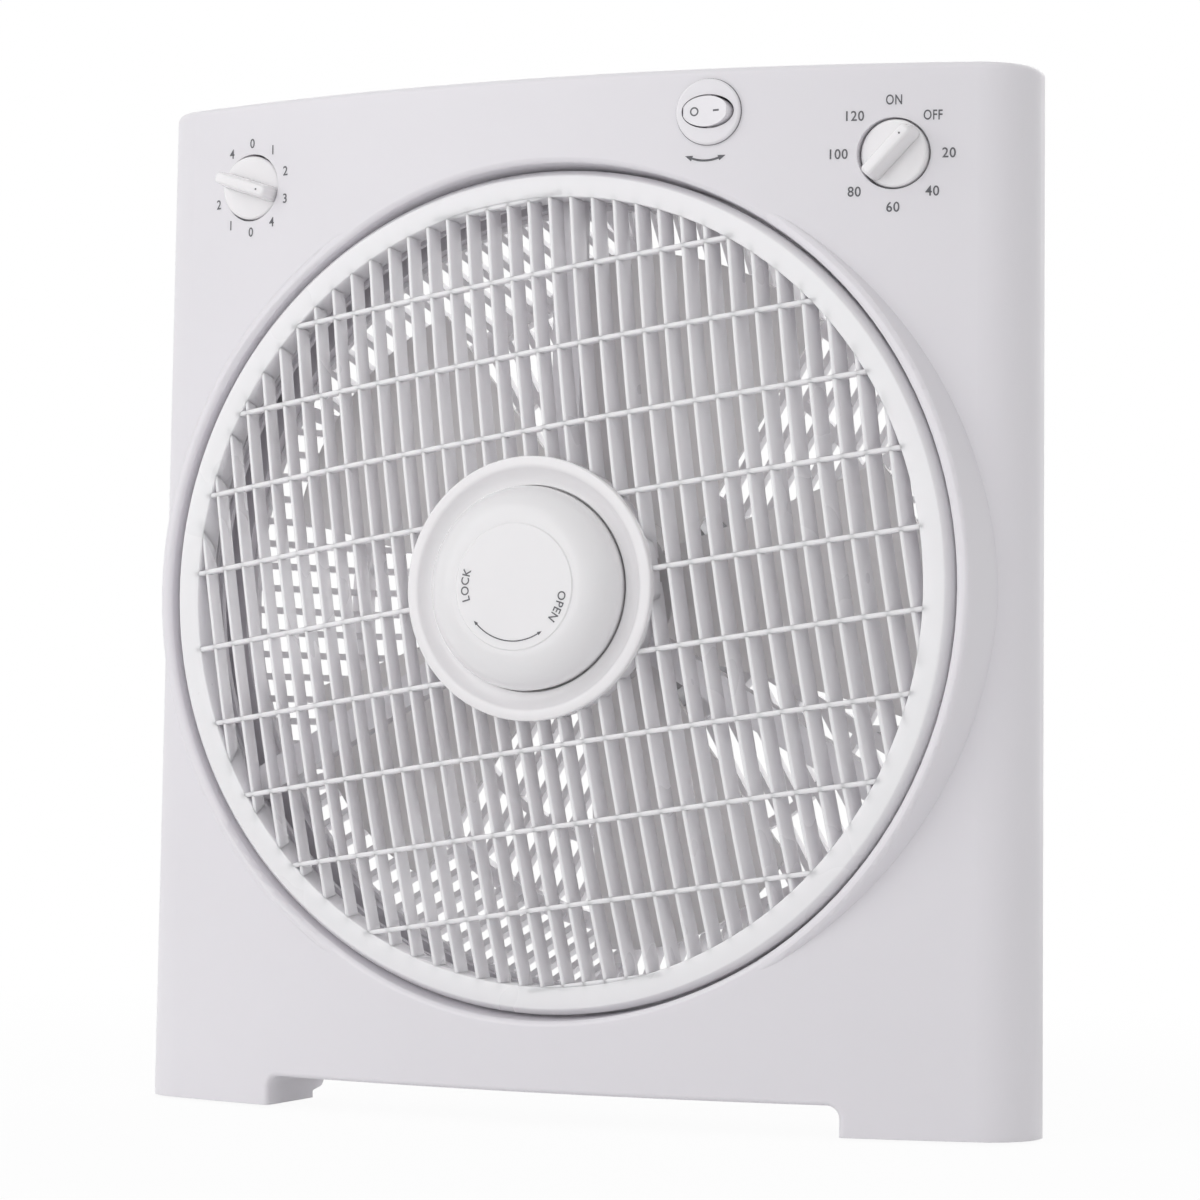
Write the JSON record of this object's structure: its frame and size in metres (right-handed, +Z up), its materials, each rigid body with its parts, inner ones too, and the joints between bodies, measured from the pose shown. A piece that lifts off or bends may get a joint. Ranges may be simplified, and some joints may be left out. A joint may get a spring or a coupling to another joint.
{
  "type": "box fan",
  "caption": "White box fan with a bowed front, a domed louvre grille that turns, a lock knob at its hub, rotary speed and timer controls and a swing rocker switch.",
  "frame": {"origin": "middle of the bounding box on the floor under the foot pads", "axes": "+X to the right seen from the front, +Y to the back, +Z up"},
  "size_m": [0.3848, 0.1542, 0.4146],
  "materials": {
    "cabinet_white": "satin moulded white with a faint lilac cast",
    "grille_white": "satin moulded white",
    "gloss_white": "smooth glossy white",
    "blade_white": "smooth white, a little warmer",
    "brass": "turned brass",
    "bronze": "sintered bronze",
    "steel": "ground steel",
    "screw_zinc": "zinc plated",
    "motor_can": "dark grey pressed can",
    "motor_alloy": "die cast, unpainted",
    "core_steel": "laminated steel",
    "copper": "enamelled copper wire",
    "switch_case": "black moulded case",
    "rubber_grey": "soft grey rubber"
  },
  "bodies": {
    "housing": {"front_housing": "cabinet_white", "rear_housing": "cabinet_white", "rear_grille": "grille_white", "support_spider": "grille_white", "spider_screws": "screw_zinc", "swing_motor": "motor_can", "swing_screws": "screw_zinc", "motor_front_bell": "motor_alloy", "motor_rear_bell": "motor_alloy", "motor_bush_front": "bronze", "motor_bush_rear": "bronze", "motor_stator": "core_steel", "motor_windings": "copper", "motor_bolts": "screw_zinc", "motor_mount_screws": "screw_zinc", "guard_screws": "screw_zinc", "housing_screws": "screw_zinc", "speed_switch": "switch_case", "speed_switch_screws": "screw_zinc", "timer_body": "switch_case", "timer_screws": "screw_zinc", "rocker_bezel": "gloss_white", "rocker_tabs": "brass", "foot_pads": "rubber_grey", "cord_gland": "rubber_grey", "run_capacitor": "switch_case", "terminal_block": "grille_white"},
    "fan": {"fan_blade": "blade_white", "drive_pin": "steel", "spinner_nut": "blade_white", "motor_shaft": "steel", "motor_rotor": "core_steel"},
    "louvre": {"louvre_grille": "grille_white", "hub_dish": "gloss_white", "swing_shaft": "steel"},
    "lock_washer": {"lock_washer": "steel"},
    "lock_knob": {"lock_knob": "gloss_white", "knob_insert": "brass"},
    "speed_knob": {"speed_knob": "gloss_white", "speed_shaft": "steel"},
    "timer_knob": {"timer_knob": "gloss_white", "timer_shaft": "steel"},
    "rocker": {"rocker_button": "gloss_white"}
  },
  "joints": [
    {"name": "fan_spin", "type": "hinge", "parent": "housing", "child": "fan", "pos_m": [0, 0, 0.2106], "axis": [0, 1, 0], "continuous": true},
    {"name": "louvre_spin", "type": "hinge", "parent": "housing", "child": "louvre", "pos_m": [0, 0, 0.2106], "axis": [0, 1, 0], "continuous": true},
    {"name": "lock_knob_travel", "type": "slide", "parent": "louvre", "child": "lock_washer", "axis": [0, -1, 0], "range_m": [0, 0.00201]},
    {"name": "lock_knob_turn", "type": "hinge", "parent": "lock_washer", "child": "lock_knob", "pos_m": [0, 0, 0.2106], "axis": [0, -1, 0], "range_deg": [0, 720]},
    {"name": "speed_knob_turn", "type": "hinge", "parent": "housing", "child": "speed_knob", "pos_m": [-0.14, -0.035, 0.379], "axis": [0, -1, 0], "continuous": true},
    {"name": "timer_knob_turn", "type": "hinge", "parent": "housing", "child": "timer_knob", "pos_m": [0.14, -0.035, 0.379], "axis": [0, -1, 0], "range_deg": [-270, 45]},
    {"name": "rocker_tilt", "type": "hinge", "parent": "housing", "child": "rocker", "pos_m": [0.06787, -0.04816, 0.397], "axis": [0, 0, 1], "range_deg": [0, 22]}
  ],
  "couplings": [
    {"joint": "lock_knob_travel", "follows": "lock_knob_turn", "m_per_rad": 0.00015915}
  ]
}
